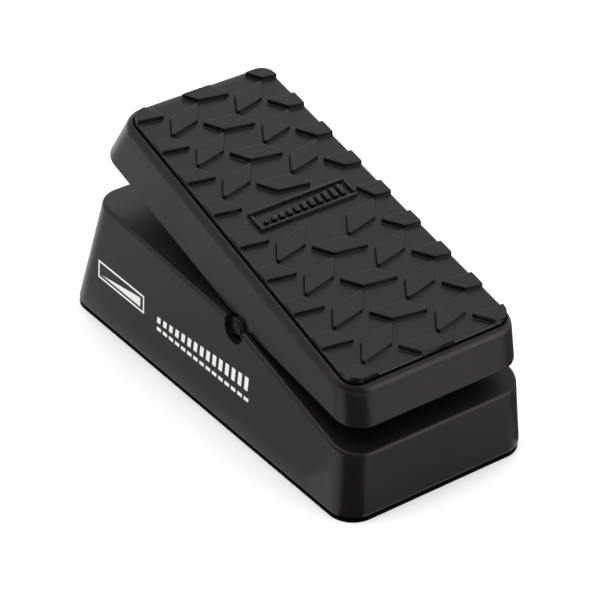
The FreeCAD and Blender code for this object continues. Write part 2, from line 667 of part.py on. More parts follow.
def drum_screw():
    screw = Part.makeCylinder(1.2, 0.6, Vec(0, 0, DRUM_R + BAND_T + 0.02))
    screw = screw.fuse(Part.makeCylinder(0.55, 1.7, Vec(0, 0, 2.05)))
    return radial_place(screw, SECTOR_ANGLE, DRUM_Y, DRUM_Z)


# ---- potentiometer and its bracket -------------------------------------------------------------
BRACKET_X = 6.1
BRACKET_T = 1.5
POT_R = 8.0
BUSHING_R = 3.2
BUSHING_HOLE_R = 3.25
BRACKET_SCREWS = [(17.0, 1.5), (17.0, 15.5)]
TENSION_SCREWS = [(-16.0, -9.0), (-16.0, -1.5)]
FLOOR_SCREW_HOLE_R = 1.4


def pot_shaft():
    return cyl_x(DRUM_Y, DRUM_Z, SHAFT_R, -DRUM_HALF, BRACKET_X + BRACKET_T + 4.0)


def pot_bushing():
    tube = cyl_x(DRUM_Y, DRUM_Z, BUSHING_R, DRUM_HALF + 0.4, BRACKET_X + BRACKET_T)
    return tube.cut(cyl_x(DRUM_Y, DRUM_Z, SHAFT_R + 0.05, 0, 20))


def pot_nut():
    nut = turned_to_x(hex_prism(9.0, 0, 2.0))
    nut.translate(Vec(BRACKET_X - 2.55, DRUM_Y, DRUM_Z))
    return nut.cut(cyl_x(DRUM_Y, DRUM_Z, 3.22, -5, 20))


def pot_washer():
    washer = cyl_x(DRUM_Y, DRUM_Z, 5.2, BRACKET_X - 0.52, BRACKET_X - 0.02)
    return washer.cut(cyl_x(DRUM_Y, DRUM_Z, BUSHING_HOLE_R, -5, 20))


def pot_body():
    x0 = BRACKET_X + BRACKET_T
    can = cyl_x(DRUM_Y, DRUM_Z, POT_R, x0 + 0.02, x0 + 8.5)
    can = can.fuse(box(x0 + 0.02, x0 + 2.0, DRUM_Y - 6.5, DRUM_Y + 6.5, DRUM_Z, DRUM_Z + 10.5))
    return can.cut(cyl_x(DRUM_Y, DRUM_Z, SHAFT_R + 0.05, x0 - 1, x0 + 4.3)).removeSplitter()


def pot_lugs():
    x0 = BRACKET_X + BRACKET_T
    return [box(x0 + 2.05, x0 + 2.45, DRUM_Y + dy - 0.9, DRUM_Y + dy + 0.9, DRUM_Z + 8.5, DRUM_Z + 13.0)
            for dy in (-4.5, 0.0, 4.5)]


def pot_bracket():
    floor = PAD_T + PLATE_T
    upright = box(BRACKET_X, BRACKET_X + BRACKET_T, DRUM_Y - 9.5, DRUM_Y + 9.5, floor, DRUM_Z + 11.0)
    foot = box(BRACKET_X, 21.0, DRUM_Y - 9.5, DRUM_Y + 9.5, floor, floor + BRACKET_T)
    bracket = upright.fuse(foot).removeSplitter()
    holes = [cyl_x(DRUM_Y, DRUM_Z, BUSHING_HOLE_R, 0, 20)]
    holes += [cyl_z(x, y, FLOOR_SCREW_HOLE_R, 0, 10) for x, y in BRACKET_SCREWS]
    return bracket.cut(Part.makeCompound(holes))


def floor_screws(places):
    top = PAD_T + PLATE_T + BRACKET_T
    screws = []
    for x, y in places:
        head = cyl_z(x, y, 2.5, top + 0.02, top + 1.7)
        shank = cyl_z(x, y, 1.25, PAD_T + 0.05, top + 0.1)
        slot = box(x - 3, x + 3, y - 0.35, y + 0.35, top + 1.0, top + 3)
        screws.append(head.fuse(shank).cut(slot))
    return screws


# ---- treadle tension ---------------------------------------------------------------------------
TENSION_REACH = 15.0
TENSION_Y = PIVOT_Y + TENSION_REACH * math.cos(math.radians(SECTOR_ANGLE))
TENSION_Z = PIVOT_Z + TENSION_REACH * math.sin(math.radians(SECTOR_ANGLE))
TENSION_X = -9.5


def friction_pad():
    pad = cyl_x(TENSION_Y, TENSION_Z, 3.4, -WEB_T / 2 - 3.0, -WEB_T / 2 - CLEAR)
    return pad.cut(cyl_x(TENSION_Y, TENSION_Z, 1.55, -WEB_T / 2 - 3.1, -WEB_T / 2 - 1.6))


def tension_screw():
    head = cyl_x(TENSION_Y, TENSION_Z, 3.0, -14.5, -12.4)
    shank = cyl_x(TENSION_Y, TENSION_Z, 1.5, -12.5, -WEB_T / 2 - 1.7)
    slot = box(-15, -13.5, TENSION_Y - 0.4, TENSION_Y + 0.4, TENSION_Z - 4, TENSION_Z + 4)
    return head.fuse(shank).cut(slot)


def tension_nut():
    nut = turned_to_x(hex_prism(5.5, 0, 2.2))
    nut.translate(Vec(TENSION_X + 1.52, TENSION_Y, TENSION_Z))
    return nut.cut(cyl_x(TENSION_Y, TENSION_Z, 1.55, -20, 5))


def tension_bracket():
    floor = PAD_T + PLATE_T
    upright = box(TENSION_X, TENSION_X + BRACKET_T, TENSION_Y - 5.5, TENSION_Y + 5.5, floor, TENSION_Z + 4.5)
    foot = box(-19.5, TENSION_X + BRACKET_T, TENSION_Y - 7.0, TENSION_Y + 7.0, floor, floor + BRACKET_T)
    holes = [cyl_x(TENSION_Y, TENSION_Z, 1.6, -20, 0)]
    holes += [cyl_z(x, y, FLOOR_SCREW_HOLE_R, 0, 10) for x, y in TENSION_SCREWS]
    return upright.fuse(foot).removeSplitter().cut(Part.makeCompound(holes))


# ---- jacks -------------------------------------------------------------------------------------
def jack_sleeve(x):
    sleeve = Part.makeCylinder(SLEEVE_R, SLEEVE_DEPTH + SLEEVE_PROUD, Vec(0, 0, -SLEEVE_DEPTH))
    sleeve = sleeve.cut(Part.makeCylinder(JACK_BORE_R, 30, Vec(0, 0, -15)))
    top_edges = [e for e in sleeve.Edges if abs(middle(e).z - SLEEVE_PROUD) < 0.01]
    mouth = [e for e in top_edges if e.Curve.Radius > JACK_BORE_R + 0.5]
    sleeve = sleeve.makeChamfer(0.35, mouth)
    return jack_place(sleeve, x)


def jack_body(x):
    half = JACK_BODY / 2
    body = box(-half, half, -half, half, -JACK_DEPTH, -WALL - 0.1)
    body = body.makeFillet(1.0, [e for e in body.Edges if abs(middle(e).z + JACK_DEPTH / 2 + 1.3) < 1.5])
    body = body.cut(Part.makeCylinder(JACK_BORE_R, JACK_DEPTH - 2, Vec(0, 0, -JACK_DEPTH + 2)))
    body = body.cut(Part.makeCylinder(SLEEVE_R + 0.02, 12, Vec(0, 0, -SLEEVE_DEPTH - 0.02)))
    return jack_place(body, x)


def jack_nuts():
    nuts = []
    for x in JACK_XS:
        nut = hex_prism(NUT_FLATS, 0.65, 2.9).cut(Part.makeCylinder(SLEEVE_R + 0.03, 10))
        nuts.append(jack_place(nut, x))
    return nuts


def jack_washers():
    washers = []
    for x in JACK_XS:
        washer = Part.makeCylinder(WASHER_R, 0.6, Vec(0, 0, 0.02)).cut(Part.makeCylinder(SLEEVE_R + 0.03, 10))
        washers.append(jack_place(washer, x))
    return washers


def jack_lugs():
    lugs = []
    for x in JACK_XS:
        for dx in (-4.0, 0.0, 4.0):
            lug = box(dx - 0.9, dx + 0.9, -3.2, -2.8, -JACK_DEPTH - 3.5, -JACK_DEPTH - 0.05)
            lugs.append(jack_place(lug, x))
    return lugs


# ---- circuit board -----------------------------------------------------------------------------
SWITCH = (-18.0, -9.0, 27.5, 32.5)
TRIM_X = 11.5
TRIM_Y = 30.0
CAN_PLACES = ((-10.5, 22.0), (9.5, 22.0), (18.6, 25.0))


def circuit_board():
    board = box(-23.0, 23.0, 17.0, 43.0, BOARD_Z, BOARD_Z + BOARD_T)
    return board.cut(Part.makeCompound([cyl_z(x, y, 1.3, 0, 60) for x, y in BOARD_POSTS]))


def board_screws():
    screws = []
    for x, y in BOARD_POSTS:
        head = cyl_z(x, y, 2.1, BOARD_Z - 1.5, BOARD_Z - 0.02)
        screws.append(head.fuse(cyl_z(x, y, 0.95, BOARD_Z - 0.1, BOARD_Z + BOARD_T + 3.5)))
    return screws


def board_parts():
    chips = [box(-5.5, 4.5, 21.0, 27.0, BOARD_Z - 3.4, BOARD_Z - 0.05),
             box(-4.5, 3.5, 34.0, 38.0, BOARD_Z - 1.7, BOARD_Z - 0.05)]
    cans = [cyl_z(x, y, 2.5, BOARD_Z - 6.5, BOARD_Z - 0.05) for x, y in CAN_PLACES]
    return chips + cans


def switch_body():
    x0, x1, y0, y1 = SWITCH
    body = box(x0, x1, y0, y1, BOARD_Z - 4.5, BOARD_Z - 0.05)
    return body.cut(box(x0 + 1.4, x1 - 1.4, y0 + 1.6, y1 - 1.6, BOARD_Z - 5, BOARD_Z - 2.0))


def mode_slider():
    x0, x1, y0, y1 = SWITCH
    return box(x0 + 1.5, x0 + 5.5, y0 + 1.7, y1 - 1.7, BOARD_Z - 6.8, BOARD_Z - 2.1)


def trimmer_body():
    body = box(TRIM_X - 3.3, TRIM_X + 3.3, TRIM_Y - 3.5, TRIM_Y + 3.5, BOARD_Z - 4.8, BOARD_Z - 0.05)
    return body.cut(cyl_z(TRIM_X, TRIM_Y, 2.4, BOARD_Z - 5, BOARD_Z - 2.6))


def trimmer_rotor():
    rotor = cyl_z(TRIM_X, TRIM_Y, 2.3, BOARD_Z - 5.2, BOARD_Z - 2.7)
    return rotor.cut(box(TRIM_X - 3, TRIM_X + 3, TRIM_Y - 0.35, TRIM_Y + 0.35, BOARD_Z - 6, BOARD_Z - 4.4))


def main():
    os.makedirs("parts", exist_ok=True)
    export("housing", [housing()])
    export("bottom_plate", [bottom_plate()])
    export("base_pad", [base_pad()])
    export("plate_screws", plate_screws())
    export("treadle", [treadle()])
    export("treadle_mat", [treadle_mat()])
    export("pivot_axle", [pivot_axle()])
    export("axle_clips", axle_clips())
    export("pivot_bushes", pivot_bushes())
    export("bush_caps", bush_caps())
    export("cap_screws", cap_screws())
    for end in STOP_PLACES:
        export(end + "_stops", [bump_stop(end, -STOP_X), bump_stop(end, STOP_X)])
    export("drive_sector", [drive_sector()])
    export("sector_band", [sector_band()])
    export("band_screws", band_screws())
    export("sector_screws", sector_screws())
    export("band_drum", [band_drum()])
    export("drum_band", [drum_band()])
    export("drum_screw", [drum_screw()])
    export("pot_shaft", [pot_shaft()])
    export("pot_bushing", [pot_bushing()])
    export("pot_nut", [pot_nut()])
    export("pot_washer", [pot_washer()])
    export("pot_body", [pot_body()])
    export("pot_lugs", pot_lugs())
    export("pot_bracket", [pot_bracket()])
    export("bracket_screws", floor_screws(BRACKET_SCREWS + TENSION_SCREWS))
    export("friction_pad", [friction_pad()])
    export("tension_screw", [tension_screw()])
    export("tension_nut", [tension_nut()])
    export("tension_bracket", [tension_bracket()])
    for name, x in zip(JACK_NAMES, JACK_XS):
        export(name + "_jack_sleeve", [jack_sleeve(x)])
        export(name + "_jack_body", [jack_body(x)])
    export("jack_nuts", jack_nuts())
    export("jack_washers", jack_washers())
    export("jack_lugs", jack_lugs())
    export("circuit_board", [circuit_board()])
    export("board_screws", board_screws())
    export("board_parts", board_parts())
    export("switch_body", [switch_body()])
    export("mode_slider", [mode_slider()])
    export("trimmer_body", [trimmer_body()])
    export("trimmer_rotor", [trimmer_rotor()])


main()
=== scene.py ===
"""Looks of the mini volume pedal: finishes for every CAD node, the moulded tread and the printed side mark."""

import json
import math

import bmesh
import bpy
from mathutils import Matrix, Vector


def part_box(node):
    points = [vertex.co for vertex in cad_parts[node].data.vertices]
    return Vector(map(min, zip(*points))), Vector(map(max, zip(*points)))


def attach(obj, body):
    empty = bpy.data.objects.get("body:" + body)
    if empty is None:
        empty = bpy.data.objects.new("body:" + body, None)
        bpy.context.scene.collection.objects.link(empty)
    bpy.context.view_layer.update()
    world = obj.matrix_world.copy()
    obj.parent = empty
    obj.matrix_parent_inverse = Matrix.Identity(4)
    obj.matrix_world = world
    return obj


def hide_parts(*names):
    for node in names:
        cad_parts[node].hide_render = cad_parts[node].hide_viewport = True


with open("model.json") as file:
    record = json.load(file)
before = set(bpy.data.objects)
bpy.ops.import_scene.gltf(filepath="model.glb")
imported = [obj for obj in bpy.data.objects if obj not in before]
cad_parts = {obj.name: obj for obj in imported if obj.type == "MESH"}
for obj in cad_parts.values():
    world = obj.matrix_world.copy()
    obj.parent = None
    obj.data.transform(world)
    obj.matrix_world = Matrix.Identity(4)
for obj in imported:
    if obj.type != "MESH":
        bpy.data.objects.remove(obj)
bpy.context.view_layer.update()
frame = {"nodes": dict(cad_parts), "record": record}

MM = 0.001
scene = bpy.context.scene

# ---- the treadle's own frame: s runs along the mat from its heel edge, z up from the rim --------
TREADLE_TILT = math.radians(14.9)
MAT_LENGTH = 126.0
MAT_HALF_HEEL = 30.4
MAT_HALF_TOE = 26.4
MAT_TOP = 0.8
MAT_BOTTOM = -2.2
MAT_CORNER_R = 5.0
BLOCK_H = 1.4
BLOCK_INSET = 0.15


def treadle_origin():
    """The mat box ends at the heel blocks' top edge and the slab's bottom edge, which give the origin."""
    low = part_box("treadle_mat")[0]
    cos, sin = math.cos(TREADLE_TILT), math.sin(TREADLE_TILT)
    y = low.y - (BLOCK_INSET * cos - (MAT_TOP + BLOCK_H) * sin) * MM
    z = low.z - MAT_BOTTOM * cos * MM
    return Vector((0, y, z))


TO_METRES = Matrix.Scale(MM, 4)
TREADLE_FRAME = Matrix.Translation(treadle_origin()) @ Matrix.Rotation(TREADLE_TILT, 4, "X") @ TO_METRES


# ---- node materials ----------------------------------------------------------------------------------
class Nodes:
    """A material's node tree, with short ways to add and join nodes."""

    def __init__(self, name):
        self.material = bpy.data.materials.new(name)
        self.material.use_nodes = True
        self.tree = self.material.node_tree
        self.shader = self.tree.nodes["Principled BSDF"]
        coords = self.add("ShaderNodeTexCoord")
        self.place = coords.outputs["Object"]

    def add(self, kind, **values):
        node = self.tree.nodes.new(kind)
        for key, value in values.items():
            if key in node.inputs:
                node.inputs[key].default_value = value
            else:
                setattr(node, key, value)
        return node

    def join(self, output, socket):
        self.tree.links.new(output, socket)

    def noise(self, size_mm, detail=3.0, rough=0.55, stretch=None):
        """Noise whose cells are about size_mm across; stretch draws it out along an axis."""
        place = self.place
        if stretch:
            mapping = self.add("ShaderNodeMapping")
            mapping.inputs["Scale"].default_value = stretch
            self.join(place, mapping.inputs["Vector"])
            place = mapping.outputs["Vector"]
        node = self.add("ShaderNodeTexNoise", Scale=1.0 / (size_mm * MM), Detail=detail, Roughness=rough)
        self.join(place, node.inputs["Vector"])
        return node.outputs["Fac"]

    def remap(self, source, from_min, from_max, to_min=0.0, to_max=1.0):
        node = self.add("ShaderNodeMapRange")
        ends = {"From Min": from_min, "From Max": from_max, "To Min": to_min, "To Max": to_max}
        for name, value in ends.items():
            node.inputs[name].default_value = value
        self.join(source, node.inputs["Value"])
        return node.outputs["Result"]

    def spread(self, source, low, high):
        """Maps the middle of a noise onto low..high."""
        return self.remap(source, 0.3, 0.7, low, high)

    def mix(self, share, a, b):
        """Blends two colours, each a constant or another node's output."""
        node = self.add("ShaderNodeMix", data_type="RGBA")
        colour_a, colour_b, blend = node.inputs[6], node.inputs[7], node.outputs[2]
        for socket, value in ((colour_a, a), (colour_b, b)):
            if isinstance(value, tuple):
                socket.default_value = (*value, 1.0)
            else:
                self.join(value, socket)
        self.join(share, node.inputs[0])
        return blend

    def bump(self, height, depth_mm, strength=1.0, normal=None):
        node = self.add("ShaderNodeBump", Strength=strength, Distance=depth_mm * MM)
        self.join(height, node.inputs["Height"])
        if normal is not None:
            self.join(normal, node.inputs["Normal"])
        return node.outputs["Normal"]

    def edges(self, radius_mm):
        """White on sharp edges: where a rounded normal differs from the true one."""
        bevel = self.add("ShaderNodeBevel", samples=4, Radius=radius_mm * MM)
        geometry = self.add("ShaderNodeNewGeometry")
        dot = self.add("ShaderNodeVectorMath", operation="DOT_PRODUCT")
        self.join(bevel.outputs["Normal"], dot.inputs[0])
        self.join(geometry.outputs["Normal"], dot.inputs[1])
        return self.remap(dot.outputs["Value"], 0.99, 0.85)

    def finish(self, colour, roughness, normal, metallic=0.0, specular=0.5):
        self.join(colour, self.shader.inputs["Base Color"])
        self.join(roughness, self.shader.inputs["Roughness"])
        self.join(normal, self.shader.inputs["Normal"])
        self.shader.inputs["Metallic"].default_value = metallic
        self.shader.inputs["Specular IOR Level"].default_value = specular
        return self.material


WARM_TINT = (1.0, 0.94, 0.945, 1.0)


def powder_coat():
    """Satin charcoal powder coat on a casting: fine orange peel, faint cloudy tone, and sharp edges painted
    lighter as a highlight.
    """
    n = Nodes("powder_coat")
    cloud = n.noise(14.0, detail=4.0)
    peel = n.noise(0.28, detail=2.0)
    tone = n.mix(cloud, (0.0062, 0.0056, 0.0055), (0.0090, 0.0081, 0.0079))
    # painted highlight: a lighter charcoal on sharp edges
    tone = n.mix(n.edges(0.5), tone, (0.013, 0.012, 0.0118))
    waviness = n.bump(n.noise(2.2), 0.02, 0.4)
    normal = n.bump(peel, 0.009, 0.5, waviness)
    n.shader.inputs["Specular Tint"].default_value = WARM_TINT
    return n.finish(tone, n.spread(cloud, 0.30, 0.37), normal, specular=0.23)


def moulded_rubber(name, dark, light, roughness, grain_mm=0.22, depth_mm=0.007, specular=0.35):
    """Moulded rubber: even grain, slow mottling, and sharp edges painted lighter as a highlight."""
    n = Nodes(name)
    mottle = n.noise(6.0, detail=5.0)
    tone = n.mix(mottle, dark, light)
    # painted highlight: a lighter tone on sharp edges
    tone = n.mix(n.edges(0.25), tone, tuple(1.35 * c for c in light))
    normal = n.bump(n.noise(grain_mm, detail=2.0), depth_mm, 0.5)
    return n.finish(tone, n.spread(mottle, roughness - 0.04, roughness + 0.04), normal, specular=specular)


def plastic(name, dark, light, roughness, grain_mm=0.3):
    """Plain moulded plastic or paint with a little mottling."""
    n = Nodes(name)
    mottle = n.noise(3.0)
    normal = n.bump(n.noise(grain_mm, detail=1.0), 0.01, 0.4)
    return n.finish(n.mix(mottle, dark, light), n.spread(mottle, roughness - 0.05, roughness + 0.05), normal)


def metal(name, dark, light, roughness, grain_mm, stretch=None, specular=0.5):
    """Metal with drawn or turned grain that varies tone and gloss."""
    n = Nodes(name)
    grain = n.noise(grain_mm, detail=4.0, stretch=stretch)
    worn = n.noise(4.0, detail=5.0)
    normal = n.bump(grain, 0.006, 0.5)
    tone = n.mix(worn, dark, light)
    return n.finish(tone, n.spread(grain, roughness - 0.06, roughness + 0.08), normal, 1.0, specular)


def laminate():
    """Solder mask over a weave, with the faint relief of copper tracks."""
    n = Nodes("board_laminate")
    brick = n.add("ShaderNodeTexBrick", Scale=1.0 / (3.2 * MM))
    n.join(n.place, brick.inputs["Vector"])
    brick.inputs["Mortar Size"].default_value = 0.12
    tone = n.mix(brick.outputs["Fac"], (0.006, 0.060, 0.030), (0.012, 0.105, 0.050))
    normal = n.bump(brick.outputs["Fac"], 0.03, 0.5)
    return n.finish(tone, n.spread(n.noise(2.0), 0.25, 0.4), normal)


MATERIALS = {
    "cast_finish": powder_coat(),
    "tread_rubber": moulded_rubber("tread_rubber", (0.0026, 0.0027, 0.0029), (0.0044, 0.0045, 0.0048), 0.33),
    "pad_rubber": moulded_rubber("pad_rubber", (0.0015, 0.0015, 0.0015), (0.003, 0.003, 0.003), 0.8, 0.5, 0.05,
                                 specular=0.02),
    "stop_rubber": moulded_rubber("stop_rubber", (0.010, 0.010, 0.010), (0.020, 0.020, 0.020), 0.7),
    "plate_steel": plastic("plate_steel", (0.012, 0.012, 0.012), (0.020, 0.020, 0.020), 0.45, 0.5),
    "screw_steel": metal("screw_steel", (0.42, 0.42, 0.41), (0.58, 0.57, 0.55), 0.32, 0.3),
    "black_oxide": metal("black_oxide", (0.008, 0.008, 0.008), (0.020, 0.020, 0.020), 0.45, 0.3),
    "band_steel": metal("band_steel", (0.55, 0.55, 0.54), (0.68, 0.68, 0.66), 0.2, 0.5, (8.0, 1.0, 1.0)),
    "black_nylon": plastic("black_nylon", (0.016, 0.016, 0.017), (0.026, 0.026, 0.027), 0.5),
    "jack_plastic": plastic("jack_plastic", (0.010, 0.010, 0.010), (0.018, 0.018, 0.018), 0.42),
    "nickel": metal("nickel", (0.60, 0.58, 0.54), (0.72, 0.70, 0.66), 0.18, 0.25),
    "drum_brass": metal("drum_brass", (0.60, 0.42, 0.17), (0.76, 0.57, 0.27), 0.28, 0.3, (6.0, 1.0, 1.0)),
    "tinned_lugs": metal("tinned_lugs", (0.60, 0.60, 0.58), (0.76, 0.76, 0.74), 0.35, 0.4),
    "pot_can": metal("pot_can", (0.46, 0.46, 0.44), (0.60, 0.60, 0.58), 0.38, 0.4),
    "board_laminate": laminate(),
    "part_plastic": plastic("part_plastic", (0.010, 0.010, 0.011), (0.020, 0.020, 0.022), 0.4),
    "trimmer_plastic": plastic("trimmer_plastic", (0.012, 0.060, 0.260), (0.025, 0.090, 0.360), 0.3),
    "white_print": plastic("white_print", (0.76, 0.76, 0.75), (0.86, 0.86, 0.85), 0.5, 0.15),
}


def dress_cad_nodes():
    for part in frame["record"]["subparts"]:
        mesh = frame["nodes"][part["node"]].data
        mesh.materials.clear()
        mesh.materials.append(MATERIALS[part["material_slot"]])


# ---- mesh helpers ------------------------------------------------------------------------------------
def new_piece(name, bm, body, slot_name, material=None, transform=None, smooth_deg=35.0):
    """Turns a bmesh into a shown piece that rides on a body."""
    bmesh.ops.recalc_face_normals(bm, faces=bm.faces)
    if transform is not None:
        bm.transform(transform)
    mesh = bpy.data.meshes.new(name)
    bm.to_mesh(mesh)
    bm.free()
    piece = bpy.data.objects.new(name, mesh)
    scene.collection.objects.link(piece)
    mesh.materials.append(MATERIALS[material or slot_name])
    mesh.shade_smooth()
    mesh.set_sharp_from_angle(angle=math.radians(smooth_deg))
    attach(piece, body)
    return piece


def loft(bm, rings, cap_first=True, cap_last=True):
    """Skins closed rings of equal length, and closes the ends."""
    loops = [[bm.verts.new(p) for p in ring] for ring in rings]
    count = len(loops[0])
    for a, b in zip(loops, loops[1:]):
        for i in range(count):
            j = (i + 1) % count
            bm.faces.new((a[i], a[j], b[j], b[i]))
    if cap_first:
        bm.faces.new(loops[0])
    if cap_last:
        bm.faces.new(loops[-1])
    return loops


def area_of(points):
    return sum(a[0] * b[1] - b[0] * a[1] for a, b in zip(points, points[1:] + points[:1])) / 2


def offset(points, grow):
    """Moves each side of a convex polygon, given anticlockwise, out by grow."""
    count = len(points)
    lines = []
    for i in range(count):
        (ax, ay), (bx, by) = points[i], points[(i + 1) % count]
        length = math.hypot(bx - ax, by - ay)
        nx, ny = (by - ay) / length, -(bx - ax) / length
        lines.append((nx, ny, nx * ax + ny * ay + grow))
    out = []
    for i in range(count):
        ax, ay, ac = lines[i - 1]
        bx, by, bc = lines[i]
        det = ax * by - ay * bx
        out.append(((ac * by - bc * ay) / det, (ax * bc - bx * ac) / det))
    return out


def rounded(points, radius, steps=4):
    """Each corner of a convex polygon as an arc of steps + 1 points."""
    out = []
    count = len(points)
    for i in range(count):
        p = Vector(points[i])
        to_last = Vector(points[i - 1]) - p
        to_next = Vector(points[(i + 1) % count]) - p
        half = to_last.angle(to_next) / 2
        reach = min(radius / math.tan(half), 0.45 * to_last.length, 0.45 * to_next.length)
        r = reach * math.tan(half)
        centre = p + (to_last.normalized() + to_next.normalized()).normalized() * (r / math.sin(half))
        start = p + to_last.normalized() * reach - centre
        end = p + to_next.normalized() * reach - centre
        turn = start.angle_signed(end)
        for k in range(steps + 1):
            arm = start.copy()
            arm.rotate(Matrix.Rotation(-turn * k / steps, 2))
            out.append(tuple(centre + arm))
    return out


def clipped(points, fence):
    """The part of a convex polygon inside another one, both anticlockwise."""
    for i in range(len(fence)):
        (ax, ay), (bx, by) = fence[i], fence[(i + 1) % len(fence)]

        def depth(p):
            return (bx - ax) * (p[1] - ay) - (by - ay) * (p[0] - ax)

        kept = []
        for j in range(len(points)):
            p, q = points[j - 1], points[j]
            dp, dq = depth(p), depth(q)
            if dp * dq < 0:
                t = dp / (dp - dq)
                kept.append((p[0] + (q[0] - p[0]) * t, p[1] + (q[1] - p[1]) * t))
            if dq >= 0:
                kept.append(q)
        points = kept
        if len(points) < 3:
            return []
    return points


def without_short_sides(points, least):
    kept = []
    for p in points:
        if not kept or math.dist(p, kept[-1]) > least:
            kept.append(p)
    if len(kept) > 1 and math.dist(kept[0], kept[-1]) <= least:
        kept.pop()
    return kept


# ---- the tread ---------------------------------------------------------------------------------------
PATTERN_PITCH = 15.1
PATTERN_STEP = 28.0
PATTERN_ROWS = range(-1, 8)
LEAF = [(-23.3, 20.2), (-10.1, 22.8), (-4.3, 30.2), (-18.2, 27.8)]
MIRROR_LEAF = [(-9.8, 22.0), (-4.1, 15.7), (9.4, 13.7), (4.1, 20.5)]
BADGE_X = (-19.6, 19.6)
BADGE_S = (64.0, 72.2)
BADGE_CLEAR = 0.7
BADGE_H = 1.2
BLOCK_R = 0.7
LEAST_BLOCK_MM2 = 3.0
EDGE_OVERHANG = 0.3
EDGE_LIP = 0.22
SHORTEST_SIDE = 0.25
# how far the wall stands out from the block's foot line, and its height as a share of the block's, going down
BLOCK_WALL = [(-0.80, 1.0), (-0.36, 1.0), (-0.24, 0.985), (-0.18, 0.93), (-0.165, 0.88), (-0.145, 0.82),
              (0.06, 0.16), (0.08, 0.10), (0.12, 0.04), (0.20, 0.01), (0.32, 0.0), (0.32, -0.6)]
INNER_RING_MM2 = 20.0
# the mat's side from the bottom up: how far in from its outline, and its height
MAT_WALL = [(0.0, MAT_BOTTOM), (0.0, -1.4), (0.20, -1.2), (0.20, 0.30), (0.21, 0.45), (0.27, 0.60),
            (0.40, 0.72), (0.58, 0.78), (0.80, MAT_TOP), (1.6, MAT_TOP)]
# a badge bar's wall, as in BLOCK_WALL
BAR_WALL = [(-0.22, 1.0), (-0.06, 0.95), (0.0, 0.8), (0.08, 0.2), (0.15, 0.0), (0.15, -0.3)]
BAR_INSET = 0.08
BAR_CORNER_R = 0.35
BADGE_BAND = 1.0
BADGE_BAND_GAP = 0.5
BADGE_BARS = 11


def mat_half(s):
    return MAT_HALF_HEEL + (MAT_HALF_TOE - MAT_HALF_HEEL) * s / MAT_LENGTH


def mat_outline(inset):
    s0, s1 = inset, MAT_LENGTH - inset
    return [(-mat_half(s0) + inset, s0), (mat_half(s0) - inset, s0),
            (mat_half(s1) - inset, s1), (-mat_half(s1) + inset, s1)]


def on_mat(x, s):
    """Squeezes a pattern point drawn on a parallel mat to the real taper."""
    return x * mat_half(s) / MAT_HALF_HEEL, s


def held_in_mat(x, s):
    """The nearest point on or inside the mat's outline, so that edge blocks are cut flush with it."""
    s = min(max(s, EDGE_LIP), MAT_LENGTH - EDGE_LIP)
    x = math.copysign(min(abs(x), mat_half(s) - EDGE_LIP), x)
    r = MAT_CORNER_R - EDGE_LIP
    centre_s = min(max(s, MAT_CORNER_R), MAT_LENGTH - MAT_CORNER_R)
    centre_x = math.copysign(mat_half(centre_s) - MAT_CORNER_R, x)
    away = Vector((x - centre_x, s - centre_s))
    if centre_s != s and (x - centre_x) * x > 0 and away.length > r:
        away = away.normalized() * r
        return centre_x + away.x, centre_s + away.y
    return x, s


def block_outlines():
    """Leaf-shaped blocks in columns that lean one way, then the other, squeezed to the mat's taper."""
    fence = rounded(mat_outline(-EDGE_OVERHANG), MAT_CORNER_R + EDGE_OVERHANG)
    outlines = []
    for leaf, columns in ((LEAF, (0, 1)), (MIRROR_LEAF, (-1, 0, 1))):
        for column in columns:
            for row in PATTERN_ROWS:
                points = [(x + column * PATTERN_STEP, s + row * PATTERN_PITCH) for x, s in leaf]
                x_mid = sum(p[0] for p in points) / 4
                s_mid = sum(p[1] for p in points) / 4
                in_badge_rows = BADGE_S[0] - 3 < s_mid < BADGE_S[1] + 2
                if in_badge_rows and abs(x_mid) < BADGE_X[1]:
                    continue
                if in_badge_rows and x_mid > 0:
                    points = [(max(x, BADGE_X[1] + BADGE_CLEAR), s) for x, s in points]
                points = [on_mat(x, s) for x, s in points]
                points = without_short_sides(clipped(points, fence), SHORTEST_SIDE)
                if len(points) > 2 and area_of(points) > LEAST_BLOCK_MM2:
                    outlines.append(points)
    return outlines


def tread_block(bm, outline):
    """A block with drafted walls, rounded at the top and foot; a big one gets an extra ring inside its top."""
    wall = BLOCK_WALL if area_of(outline) > INNER_RING_MM2 else BLOCK_WALL[1:]
    rings = []
    for grow, share in wall:
        ring = rounded(offset(outline, grow), max(BLOCK_R + grow, 0.2))
        rings.append([(*held_in_mat(x, s), MAT_TOP + share * BLOCK_H) for x, s in ring])
    loft(bm, rings)


def mat_slab(bm):
    """The mat's body: its top edge rolls over into the seam."""
    rings = []
    for inset, z in MAT_WALL:
        ring = rounded(mat_outline(inset), MAT_CORNER_R - inset, 10)
        rings.append([(x, s, z) for x, s in ring])
    loft(bm, rings)


def badge(bm):
    """A plain level meter: a rectangular frame round a row of rising bars."""
    x0, x1 = BADGE_X
    s0, s1 = BADGE_S
    side_s0 = s0 + BADGE_BAND + BADGE_BAND_GAP
    side_s1 = s1 - BADGE_BAND - BADGE_BAND_GAP
    raised_bar(bm, x0, x1, s0, s0 + BADGE_BAND)
    raised_bar(bm, x0, x1, s1 - BADGE_BAND, s1)
    raised_bar(bm, x0, x0 + BADGE_BAND, side_s0, side_s1)
    raised_bar(bm, x1 - BADGE_BAND, x1, side_s0, side_s1)
    pitch = (x1 - x0 - 5.0) / BADGE_BARS
    for i in range(BADGE_BARS):
        x = x0 + 2.5 + pitch * (i + 0.2)
        tall = 1.2 + (s1 - s0 - 5.0) * (i + 1) / BADGE_BARS
        raised_bar(bm, x, x + pitch * 0.6, s0 + 1.9, s0 + 1.9 + tall)


